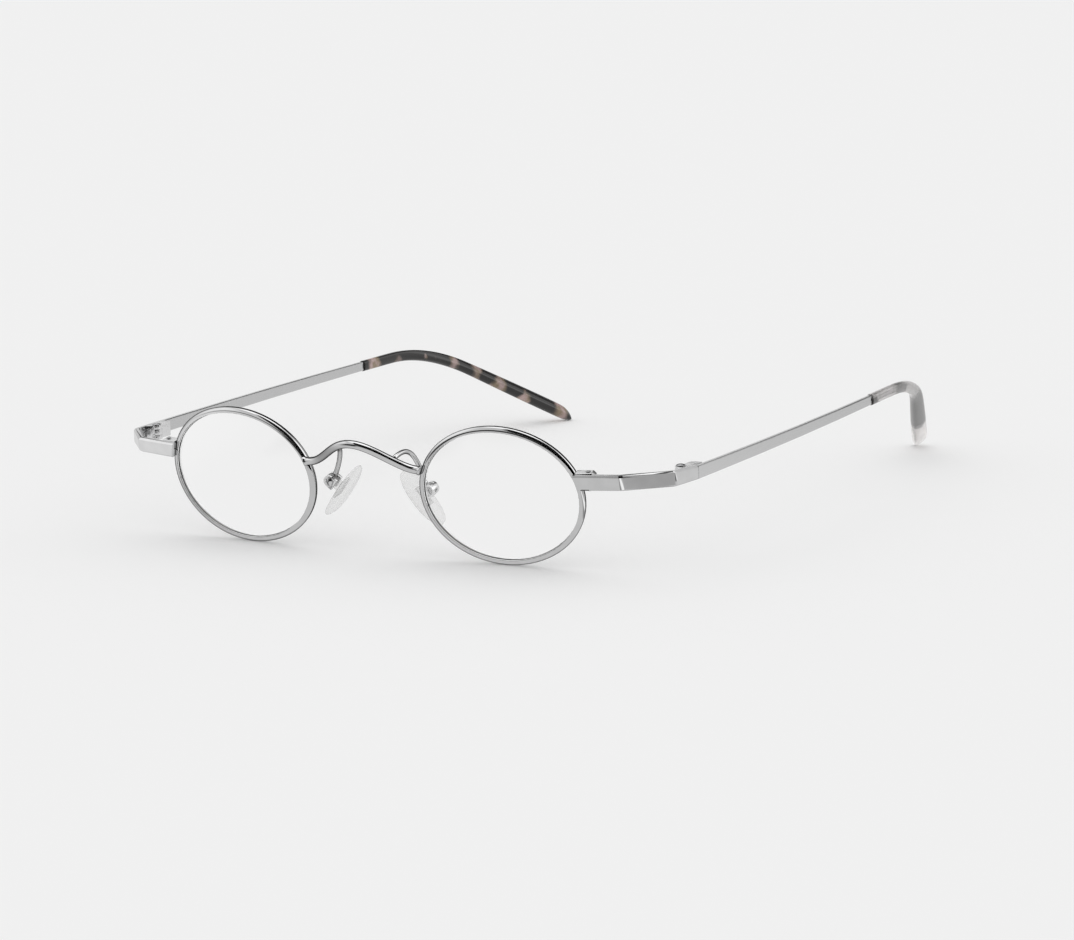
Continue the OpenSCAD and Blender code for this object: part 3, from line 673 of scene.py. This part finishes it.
def rounded(obj, width, segments=2, angle=28, levels=0, smooth=35):
    """Rounds the edges of obj past an angle, divides it level by level and shades it smooth"""
    only(obj)
    if width > 0:
        bevel = obj.modifiers.new("Edges", "BEVEL")
        bevel.width = width
        bevel.segments = segments
        bevel.limit_method = "ANGLE"
        bevel.angle_limit = math.radians(angle)
        bevel.miter_outer = "MITER_ARC"
        bpy.ops.object.modifier_apply(modifier=bevel.name)
    if levels > 0:
        soft = obj.modifiers.new("Soft", "SUBSURF")
        soft.levels = levels
        soft.render_levels = levels
        bpy.ops.object.modifier_apply(modifier=soft.name)
    bpy.ops.object.shade_smooth_by_angle(angle=math.radians(smooth))


def flared(obj, at, reach, factor):
    """Widens obj round a place, as solder does at the end of a wire"""
    centre = middle([p for p in points_of(obj) if (p - at).length < reach])
    pick(obj, "vertices", lambda v: (v.co - at).length < reach)
    bpy.ops.transform.resize(value=(factor, factor, factor), center_override=centre)
    leave_edit()


def fitted(obj, node, material):
    """Puts obj in the node's stead, on its body and in its finish"""
    obj.data.materials.clear()
    obj.data.materials.append(material)
    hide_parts(node)
    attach(obj, BODY_OF[node])


def finished(node, name, material, width, flat=True, **how):
    """Does a plain piece in one go: its copy, its rounding and its place"""
    piece = worked_copy(node, name, flat=flat)
    rounded(piece, width, **how)
    fitted(piece, node, material)


# Operators, one for each kind of piece and one for the stage

class GLASSES_OT_rims(Operator):
    """Rounds and polishes the rim wires"""

    bl_idname = "glasses.rims"
    bl_label = "Rims"

    def execute(self, context):
        own = context.scene.glasses_metal
        for side in SIDES:
            node = "rim_" + side
            wire = worked_copy(node, "rim_wire_" + side, flat=False)
            bent_soft(wire, RIM_SHARP, own.wire_round)
            bent_soft(wire, RIM_BLUNT, own.wire_round * BLUNT_SHARE)
            rounded(wire, own.edge, angle=42, smooth=50)
            fitted(wire, node, polished_metal(wire=True))
        return {"FINISHED"}


class GLASSES_OT_lenses(Operator):
    """Smooths the lenses and makes them clear"""

    bl_idname = "glasses.lenses"
    bl_label = "Lenses"

    def execute(self, context):
        for side in SIDES:
            finished("lens_" + side, "lens_glass_" + side, lens_glass(), 0, flat=False, smooth=45)
        return {"FINISHED"}


class GLASSES_OT_bridge(Operator):
    """Shapes the bridge's feet and smooths its arch"""

    bl_idname = "glasses.bridge"
    bl_label = "Bridge"

    def execute(self, context):
        own = context.scene.glasses_metal
        wire = worked_copy("bridge", "bridge_wire", flat=False)
        for sign in (-1, 1):
            self.solder(wire, sign, own.flare)
        rounded(wire, 0, levels=2, smooth=60)
        fitted(wire, "bridge", polished_metal(wire=True))
        return {"FINISHED"}

    def solder(self, wire, sign, flare):
        """Widens one end of the wire and carries it into its rim"""
        tip = max(p.x * sign for p in points_of(wire))
        ring = [wire.data.vertices[i].co.copy()
                for face in wire.data.polygons for i in face.vertices
                if face.normal.x * sign > END_FACING and face.center.x * sign > tip - END_DEPTH]
        centre = middle(ring)
        pick(wire, "vertices", lambda v: any((v.co - p).length < SAME_PLACE for p in ring))
        bpy.ops.transform.translate(value=(-SOLDER_LENGTH * sign, 0, 0))
        for step, grow in ((SOLDER_LENGTH, flare), (FOOT_DEPTH, FOOT_GROWTH)):
            bpy.ops.mesh.extrude_region_move(
                TRANSFORM_OT_translate={"value": (step * sign, 0, 0)})
            bpy.ops.transform.resize(value=(1, grow, grow), center_override=centre)
        leave_edit()


class GLASSES_OT_guard_arms(Operator):
    """Smooths the guard arms and flares them at their solder"""

    bl_idname = "glasses.guard_arms"
    bl_label = "Guard arms"

    def execute(self, context):
        own = context.scene.glasses_metal
        for side in SIDES:
            node = "guard_arm_" + side
            wire = worked_copy(node, "arm_wire_" + side, flat=False)
            points = points_of(wire)
            pad_box = middle(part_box("pad_box_" + side))
            at_box = min(points, key=lambda p: (p - pad_box).length)
            at_bridge = min(points, key=lambda p: p.y)
            for end in (at_box, at_bridge):
                flared(wire, end, SOLDER_REACH, own.flare)
            pick(wire, "vertices", lambda v: True)
            bpy.ops.transform.shrink_fatten(value=ARM_SWELL)
            leave_edit()
            rounded(wire, 0, levels=2, smooth=60)
            fitted(wire, node, polished_metal(wire=True))
        return {"FINISHED"}


class GLASSES_OT_pads(Operator):
    """Softens the nose pads and the plates inside them"""

    bl_idname = "glasses.pads"
    bl_label = "Nose pads"

    def execute(self, context):
        for side in SIDES:
            finished("nose_pad_" + side, "pad_cushion_" + side, pad_silicone(), 0, flat=False,
                     smooth=60)
            finished("pad_mount_" + side, "pad_plate_" + side, core_plastic(), PLATE_EDGE)
        return {"FINISHED"}


class GLASSES_OT_pad_boxes(Operator):
    """Rounds the pad boxes and their screws"""

    bl_idname = "glasses.pad_boxes"
    bl_label = "Pad boxes"

    def execute(self, context):
        edge = context.scene.glasses_metal.small_edge
        for side in SIDES:
            finished("pad_box_" + side, "box_" + side, satin_metal(), edge * BOX_SHARE, segments=3)
            finished("pad_screw_" + side, "pad_axle_" + side, polished_metal(), edge * SCREW_SHARE)
        return {"FINISHED"}


class GLASSES_OT_end_bars(Operator):
    """Rounds the edges of the end bars and finishes the pins beside the hinges"""

    bl_idname = "glasses.end_bars"
    bl_label = "End bars"

    def execute(self, context):
        own = context.scene.glasses_metal
        for side in SIDES:
            node = "endpiece_" + side
            bar = worked_copy(node, "end_strip_" + side, within=8.0)
            off_pins = outside(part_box("hinge_pins_" + side), PIN_MARGIN)
            bent_soft(bar, BAR_BENDS, own.bend, fits=steep)
            bent_soft(bar, BAR_EDGES, own.bar_edge, segments=3,
                      fits=lambda a, b: not steep(a, b) and off_pins((a + b) / 2))
            rounded(bar, own.small_edge, angle=60, smooth=BAR_SMOOTH)
            firm_flats(bar, END_BAR_FLAT)
            fitted(bar, node, polished_metal())
            finished("hinge_pins_" + side, "bar_pins_" + side, screw_metal(), own.small_edge)
        return {"FINISHED"}


class GLASSES_OT_closing_blocks(Operator):
    """Rounds the closing blocks and their screws"""

    bl_idname = "glasses.closing_blocks"
    bl_label = "Closing blocks"

    def execute(self, context):
        edge = context.scene.glasses_metal.small_edge
        for side in SIDES:
            for half in ("upper_", "lower_"):
                finished("closing_block_" + half + side, "block_" + half + side, satin_metal(),
                         edge * BLOCK_SHARE, segments=3, smooth=30)
            finished("closing_screw_" + side, "block_screw_" + side, screw_metal(),
                     edge * SCREW_SHARE)
        return {"FINISHED"}


class GLASSES_OT_hinges(Operator):
    """Rounds the hinge leaves and their screws"""

    bl_idname = "glasses.hinges"
    bl_label = "Hinges"

    def execute(self, context):
        edge = context.scene.glasses_metal.small_edge
        for side in SIDES:
            for holder in ("front_", "temple_"):
                finished(holder + "hinge_" + side, holder + "leaf_" + side, satin_metal(), edge)
            finished("hinge_screw_" + side, "hinge_axle_" + side, screw_metal(),
                     edge * SCREW_SHARE)
        return {"FINISHED"}


class GLASSES_OT_temples(Operator):
    """Rounds the temples' edges and brushes their faces"""

    bl_idname = "glasses.temples"
    bl_label = "Temples"

    def execute(self, context):
        own = context.scene.glasses_metal
        for side in SIDES:
            node = "temple_" + side
            bar = worked_copy(node, "temple_strip_" + side, flat=False)
            rounded(bar, own.temple_edge, segments=3)
            firm_flats(bar, TEMPLE_FLAT)
            fitted(bar, node, brushed_metal())
        return {"FINISHED"}


class GLASSES_OT_tips(Operator):
    """Closes the acetate of the tips round the core wire and polishes it"""

    bl_idname = "glasses.tips"
    bl_label = "Tips"

    def execute(self, context):
        for side in SIDES:
            node = "temple_tip_" + side
            tip = worked_copy(node, "tip_sleeve_" + side, flat=False)
            self.close_bore(tip, points_of(frame["nodes"]["temple_" + side]))
            rounded(tip, TIP_EDGE, angle=60, levels=2, smooth=60)
            fitted(tip, node, tip_acetate(side))
        return {"FINISHED"}

    def close_bore(self, tip, core):
        """Takes the bore out of the tip, which the core wire fills, and covers its mouth"""
        tree = KDTree(len(core))
        for i, point in enumerate(core):
            tree.insert(point, i)
        tree.balance()
        pick(tip, "vertices", lambda v: tree.find(v.co)[2] < CORE_REACH)
        bpy.ops.mesh.delete(type="VERT")
        bpy.ops.mesh.select_all(action="DESELECT")
        bpy.ops.mesh.select_mode(type="EDGE")
        bpy.ops.mesh.select_non_manifold()
        bpy.ops.mesh.edge_face_add()
        leave_edit()


class GLASSES_OT_stage(Operator):
    """Lays the floor and sets the light and the camera"""

    bl_idname = "glasses.stage"
    bl_label = "Stage"

    def execute(self, context):
        own = context.scene.glasses_stage
        self.lay_floor(own)
        self.light_room(own)
        self.hang_lamp(own)
        self.place_camera(own)
        context.scene.view_settings.view_transform = "Standard"
        return {"FINISHED"}

    def lay_floor(self, own):
        """Lays a pale floor; in reflections it glows with painted patches of light and shade"""
        bpy.ops.object.select_all(action="DESELECT")
        bpy.ops.mesh.primitive_grid_add(x_subdivisions=8, y_subdivisions=8, size=12,
                                        location=(0, 0, 0))
        floor = bpy.context.object
        floor.name = "floor"
        tone = [own.floor_color] * 3

        def build(s):
            place = s.place()
            base = s.blend(s.noise(place, scale=60), tone, times(tone, 0.997))
            plain = s.surface({"Base Color": base, "Roughness": 0.9, "Specular IOR Level": 0.0})
            # Painted reflection: for glossy rays the floor is an emission, lighter or darker where
            # the painted patches lie
            level = own.floor_color * (1 + self.painted_floor_patches(s, place))
            mirrored = s.add("Emission", {}, {"Color": s.grey(level)}, "Emission")
            s.end(s.mixed(s.ray("Glossy"), plain, mirrored))
        floor.data.materials.append(made_material("pale floor", build))

    def painted_floor_patches(self, s, place):
        """The share by which painted patches of reflected light and shade on the floor, placed in
        metres, are lighter or darker than it
        """
        across, back, _ = s.split(place)
        ahead = (back, -0.05, -0.075)
        beside = (across, 0.13, 0.142)
        shade = s.card(ahead, (across, 0.078, 0.116)) * -0.33
        strip = s.card(ahead, (across, 0.065, 0.07), (across, 0.086, 0.08)) * 0.75
        seam_shade = s.card(ahead, (across, 0.056, 0.059), (across, 0.067, 0.063)) * -0.5
        dusk = s.card(beside, (back, -0.064, -0.056), (back, -0.036, -0.046)) * -0.8
        flash = s.card(beside, (back, -0.036, -0.028), (back, -0.005, -0.02)) * 0.4
        gleam = s.card((across, -0.06, -0.085), (back, -0.03, -0.06)) * 0.3
        along = s.card((across, 0.08, 0.095), (back, -0.035, -0.028),
                       (back, -0.02, 0.15, 0.12, -0.08))
        nose = s.card((back, -0.115, -0.13), (across, -0.055, -0.045), (across, -0.006, -0.018))
        far = s.card((back, -0.14, -0.165), (across, -0.2, -0.12)).larger(nose) * -0.95
        return shade + strip + seam_shade + dusk + flash + gleam + along + far

    def light_room(self, own):
        """Lights the room evenly, with panels and cards that only reflections show"""
        world = bpy.data.worlds.new("pale room")
        world.use_nodes = True
        bpy.context.scene.world = world
        s = Shader(world.node_tree)
        glossy = s.ray("Glossy")
        plain = s.ray("Camera").larger(s.ray("Transmission"))
        lit = self.room_cards(s, own) * glossy + own.room * (1 - glossy)
        level = lit * (1 - plain) + plain * own.backdrop
        s.end(s.add("Background", {}, {"Color": s.grey(level)}, "Background"), "OutputWorld")

    def room_cards(self, s, own):
        """How bright reflections show the room, by the direction in which they look"""
        way = s.add("TexCoord", out="Generated")
        across, back, up = s.split(way)
        left = s.card((across, -0.5, -0.72), (back, 0.3, 0.0), (up, 0.0, 0.1))
        right = s.card((across, 0.42, 0.6), (up, 0.2, 0.35))
        above = s.ease(up, 0.78, 0.88)
        panels = (left * (own.side_panel - own.backdrop)).larger(
            right.larger(above) * (own.overhead - own.backdrop))
        front = s.card((up, -0.02, 0.02), (up, 0.97, 0.92), (back, 0.0, -0.12),
                       (across, -0.3, -0.16))
        behind = s.card((back, 0.3, 0.5), (up, 0.22, 0.3), (up, 0.85, 0.7),
                        (across, -0.42, -0.3), (across, 0.26, 0.16)) * 0.9
        high = s.spot(way, (0.37, 0.17, 0.91), 0.13) * 0.95
        high_right = s.spot(way, (0.53, 0.04, 0.84), 0.17) * 0.7
        dark = front.larger(behind).larger(high).larger(high_right)
        return (own.backdrop + panels) * (1 - dark) + dark * own.card

    def hang_lamp(self, own):
        """Hangs a wide, weak lamp above the object"""
        data = bpy.data.lights.new("wide light", "SUN")
        data.energy = own.key
        data.angle = math.radians(LAMP_SPREAD)
        lamp = bpy.data.objects.new("wide light", data)
        lamp.rotation_euler = Vector(LAMP_AIM).to_track_quat("-Z", "Y").to_euler()
        bpy.context.scene.collection.objects.link(lamp)

    def place_camera(self, own):
        """Places the camera as the settings say"""
        data = bpy.data.cameras.new("camera")
        data.lens = own.camera_lens
        data.sensor_width = 36
        camera = bpy.data.objects.new("camera", data)
        camera.location = own.camera_place
        camera.rotation_euler = own.camera_turn
        bpy.context.scene.collection.objects.link(camera)
        bpy.context.scene.camera = camera


STEPS = (
    GLASSES_OT_rims,
    GLASSES_OT_lenses,
    GLASSES_OT_bridge,
    GLASSES_OT_guard_arms,
    GLASSES_OT_pads,
    GLASSES_OT_pad_boxes,
    GLASSES_OT_end_bars,
    GLASSES_OT_closing_blocks,
    GLASSES_OT_hinges,
    GLASSES_OT_temples,
    GLASSES_OT_tips,
    GLASSES_OT_stage,
)
SETTINGS = {
    "glasses_metal": GlassesMetalSettings,
    "glasses_clear": GlassesClearSettings,
    "glasses_tip": GlassesTipSettings,
    "glasses_stage": GlassesStageSettings,
}


class GLASSES_PT_panel(Panel):
    """The steps that finish the glasses, in their order, and the settings"""

    bl_idname = "GLASSES_PT_panel"
    bl_label = "Reading glasses"
    bl_space_type = "VIEW_3D"
    bl_region_type = "UI"
    bl_category = "Glasses"

    def draw(self, context):
        column = self.layout.column(align=True)
        for step in STEPS:
            column.operator(step.bl_idname)
        for name in SETTINGS:
            box = self.layout.box()
            own = getattr(context.scene, name)
            for key in own.__annotations__:
                box.prop(own, key)


CLASSES = (*SETTINGS.values(), *STEPS, GLASSES_PT_panel)


def register():
    """Makes the classes known, and gives the scene their settings"""
    for cls in CLASSES:
        bpy.utils.register_class(cls)
    for name, cls in SETTINGS.items():
        setattr(bpy.types.Scene, name, PointerProperty(type=cls))


def unregister():
    """Takes back what register did"""
    for name in SETTINGS:
        delattr(bpy.types.Scene, name)
    for cls in reversed(CLASSES):
        bpy.utils.unregister_class(cls)


def main():
    """Runs the steps in order"""
    register()
    for step in STEPS:
        group, name = step.bl_idname.split(".")
        getattr(getattr(bpy.ops, group), name)()


if __name__ == "__main__":
    main()
